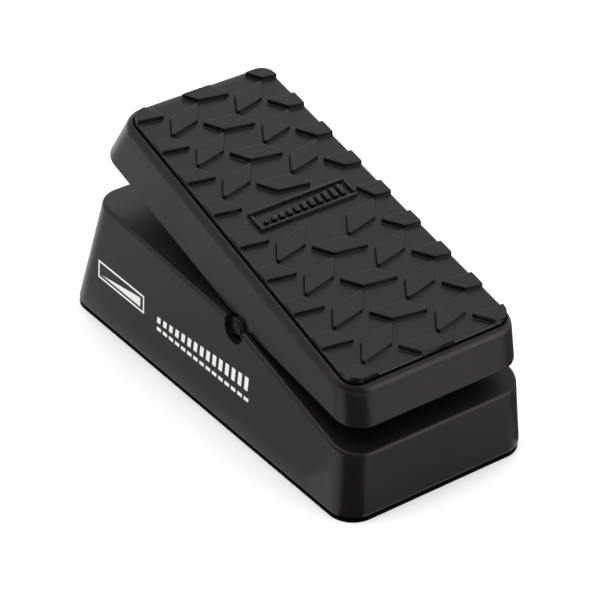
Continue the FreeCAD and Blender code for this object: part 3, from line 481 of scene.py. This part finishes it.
def raised_bar(bm, x0, x1, s0, s1):
    outline = [(x0, s0), (x1, s0), (x1, s1), (x0, s1)]
    rings = []
    for grow, share in BAR_WALL:
        ring = rounded(offset(outline, grow - BAR_INSET), BAR_CORNER_R + grow, 3)
        rings.append([(*on_mat(x, s), MAT_TOP + share * BADGE_H) for x, s in ring])
    loft(bm, rings)


def tread_mat():
    bm = bmesh.new()
    mat_slab(bm)
    for outline in block_outlines():
        tread_block(bm, outline)
    badge(bm)
    piece = new_piece("tread_mat", bm, "treadle", "tread_rubber", transform=TREADLE_FRAME)
    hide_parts("treadle_mat")


# ---- printed side mark -------------------------------------------------------------------------------
SIDE_DRAFT = math.radians(3.0)
WALL_FOOT_X = -35.35
WALL_FOOT_Z = 1.0
PRINT_LIFT = 0.04
PRINT_T = 0.03
FRAME_Y = (59.0, 32.0)
FRAME_Z = (17.4, 24.0)
FRAME_BAND = 0.7
METER_Y = 24.6
METER_LENGTH = 51.5
METER_BARS = 15


def on_left_wall(y, z, lift):
    """A point on the housing's left wall, y along it and z up, in millimetres."""
    wall_x = WALL_FOOT_X + math.tan(SIDE_DRAFT) * (z - WALL_FOOT_Z)
    return (wall_x - lift, y, z)


def printed(bm, outline):
    """A thin layer of ink in the shape of an outline of (y, z) points."""
    loft(bm, [[on_left_wall(y, z, PRINT_LIFT - PRINT_T) for y, z in outline],
              [on_left_wall(y, z, PRINT_LIFT) for y, z in outline]])


def slanted_bar(y, z, width, height, lean):
    return [(y, z), (y - width, z), (y - width - lean, z + height), (y - lean, z + height)]


def side_print():
    """A plain frame with a rising wedge, and a long row of level bars over a row of dashes."""
    bm = bmesh.new()
    y0, y1 = FRAME_Y
    z0, z1 = FRAME_Z
    band = FRAME_BAND
    for a, b, c, d in ((y0, y1, z0, z0 + band), (y0, y1, z1 - band, z1),
                       (y0, y0 - band, z0 + band, z1 - band), (y1 + band, y1, z0 + band, z1 - band)):
        printed(bm, [(a, c), (b, c), (b, d), (a, d)])
    printed(bm, [(y0 - 2.2, z0 + 1.6), (y1 + 2.2, z0 + 1.6), (y1 + 2.2, z1 - 1.6)])
    for i in range(METER_BARS):
        y = METER_Y - METER_LENGTH / METER_BARS * i
        printed(bm, slanted_bar(y, 18.4 + 0.12 * i, 1.9, 2.2 + 0.20 * i, 0.4))
        printed(bm, slanted_bar(y, 15.6 + 0.05 * i, 2.4, 1.3, 0.2))
    new_piece("side_print", bm, "base", "cast_finish", material="white_print", transform=TO_METRES)


# ---- camera, light and floor -------------------------------------------------------------------------
CAMERA_AZIMUTH = math.radians(-35.92)
CAMERA_ELEVATION = math.radians(33.59)
CAMERA_DISTANCE = 0.8769
CAMERA_TARGET = Vector((0.00378, 0.0, 0.02508))
CAMERA_LENS = 166.26
DARK_SIDE_RISE = 0.35


def photo_camera():
    data = bpy.data.cameras.new("camera")
    data.lens = CAMERA_LENS
    data.sensor_width = 36.0
    data.dof.use_dof = False
    camera = bpy.data.objects.new("camera", data)
    scene.collection.objects.link(camera)
    back = Vector((math.sin(CAMERA_AZIMUTH) * math.cos(CAMERA_ELEVATION),
                   -math.cos(CAMERA_AZIMUTH) * math.cos(CAMERA_ELEVATION), math.sin(CAMERA_ELEVATION)))
    camera.location = CAMERA_TARGET + back * CAMERA_DISTANCE
    camera.rotation_mode = "QUATERNION"
    camera.rotation_quaternion = (-back).to_track_quat("-Z", "Y")
    scene.camera = camera


def soft_light(name, place, target, width, height, power):
    data = bpy.data.lights.new(name, "AREA")
    data.shape = "RECTANGLE"
    data.size = width
    data.size_y = height
    data.energy = power
    light = bpy.data.objects.new(name, data)
    scene.collection.objects.link(light)
    light.location = place
    light.rotation_mode = "QUATERNION"
    light.rotation_quaternion = (Vector(target) - Vector(place)).to_track_quat("-Z", "Y")
    return light


def tent(strength, dark, turn_deg, inner_deg, outer_deg):
    """A white tent round the table, with its open, unlit side towards one direction."""
    world = bpy.data.worlds.new("studio")
    scene.world = world
    world.use_nodes = True
    tree = world.node_tree
    coords = tree.nodes.new("ShaderNodeTexCoord")
    apart = tree.nodes.new("ShaderNodeVectorMath")
    apart.operation = "DOT_PRODUCT"
    turn = math.radians(turn_deg)
    apart.inputs[1].default_value = (math.sin(turn), -math.cos(turn), DARK_SIDE_RISE)
    shade = tree.nodes.new("ShaderNodeMapRange")
    shade.interpolation_type = "SMOOTHSTEP"
    shade.inputs["From Min"].default_value = math.cos(math.radians(outer_deg))
    shade.inputs["From Max"].default_value = math.cos(math.radians(inner_deg))
    shade.inputs["To Min"].default_value = strength
    shade.inputs["To Max"].default_value = dark
    tree.links.new(coords.outputs["Generated"], apart.inputs[0])
    tree.links.new(apart.outputs["Value"], shade.inputs["Value"])
    tree.links.new(shade.outputs["Result"], tree.nodes["Background"].inputs["Strength"])
    tree.nodes["Background"].inputs["Color"].default_value = (1.0, 1.0, 1.0, 1.0)


def flat_sheet(name, points, z):
    """A flat polygon on the stage, facing up."""
    bm = bmesh.new()
    bm.faces.new([bm.verts.new((x, y, z)) for x, y in points])
    mesh = bpy.data.meshes.new(name)
    bm.to_mesh(mesh)
    bm.free()
    sheet = bpy.data.objects.new(name, mesh)
    scene.collection.objects.link(sheet)
    return sheet


def card(name, points, lift, dark, light):
    """A card lying on the table that is seen only in reflections; its colour is painted shade in them."""
    piece = flat_sheet(name, points, lift)
    for kind in ("camera", "diffuse", "shadow", "transmission", "volume_scatter"):
        setattr(piece, "visible_" + kind, False)
    # painted reflection: the sheet's tone stands for unlit surroundings seen in the housing's and treadle's
    # reflections
    shade_sheet = Nodes(name + "_velvet")
    sheet_mottle = shade_sheet.noise(1.0)
    shade_sheet.finish(shade_sheet.mix(sheet_mottle, (dark, dark, dark), (light, light, light)), shade_sheet.spread(sheet_mottle, 0.9, 1.0),
                  shade_sheet.bump(sheet_mottle, 0.1, 0.2), specular=0.0)
    piece.data.materials.append(shade_sheet.material)


def fan(corner, turn_deg, spread_deg, reach):
    """A pie slice on the table, from a corner towards a direction."""
    points = [corner]
    for step in range(7):
        a = math.radians(turn_deg - spread_deg + spread_deg * step / 3)
        points.append((corner[0] + math.sin(a) * reach, corner[1] - math.cos(a) * reach))
    return points


DARK_SIDE = -36.0
# cards seen only in reflections: their black and grey tones are painted shade in the reflections of the
# housing and treadle
BLACK_CARD = fan((-0.030, -0.071), DARK_SIDE, 46.0, 0.24)
LEFT_CARD = [(-0.040, -0.050), (-0.040, 0.300), (-0.400, 0.450), (-0.400, 0.010)]
RIGHT_CARD = [(0.036, -0.079), (0.036, 0.090), (0.300, 0.090), (0.300, -0.290), (0.240, -0.290)]
HEEL_CARD = [(-0.032, -0.079), (0.045, -0.079), (0.080, -0.122), (-0.002, -0.122)]
CARDS = [
    ("black_card", BLACK_CARD, 0.0008, 0.001, 0.002),
    ("left_card", LEFT_CARD, 0.0006, 0.47, 0.51),
    ("heel_card", HEEL_CARD, 0.0004, 0.45, 0.50),
    ("right_card", RIGHT_CARD, 0.0002, 0.08, 0.12),
]
FLOOR_HALF = 6.0


def studio():
    """White tent, soft boxes, a box seen only in the edges, a lamp that whitens the table, cards that paint
    shade into reflections, and paper.
    """
    tent(0.98, 0.04, DARK_SIDE, 25.0, 62.0)
    soft_light("top_box", (-0.35, 0.1, 1.1), (0.0, 0.0, 0.04), 0.9, 0.9, 3.0)
    soft_light("back_box", (0.75, 0.95, 0.9), (0.0, 0.0, 0.03), 0.7, 0.5, 0.8)
    front_box = soft_light("front_box", (0.54, -0.79, 0.40), (0.0, -0.03, 0.04), 0.6, 0.6, 3.3)
    front_box.visible_diffuse = False
    table_light = soft_light("table_light", (0.0, -0.3, 1.6), (0.0, -0.05, 0.0), 2.2, 2.2, 26.0)
    table_light.visible_glossy = False
    for name, points, lift, dark, light in CARDS:
        card(name, points, lift, dark, light)
    scene.view_settings.view_transform = "Standard"

    half = FLOOR_HALF
    floor = flat_sheet("floor", ((-half, -half), (half, -half), (half, half), (-half, half)), 0.0)
    paper = Nodes("floor_paper")
    tone = paper.noise(300.0)
    paper.finish(paper.mix(tone, (0.93, 0.93, 0.93), (0.95, 0.95, 0.95)), paper.spread(tone, 0.85, 0.95),
                 paper.bump(paper.noise(40.0), 0.05, 0.1), specular=0.1)
    floor.data.materials.append(paper.material)


photo_camera()
studio()
dress_cad_nodes()
tread_mat()
side_print()
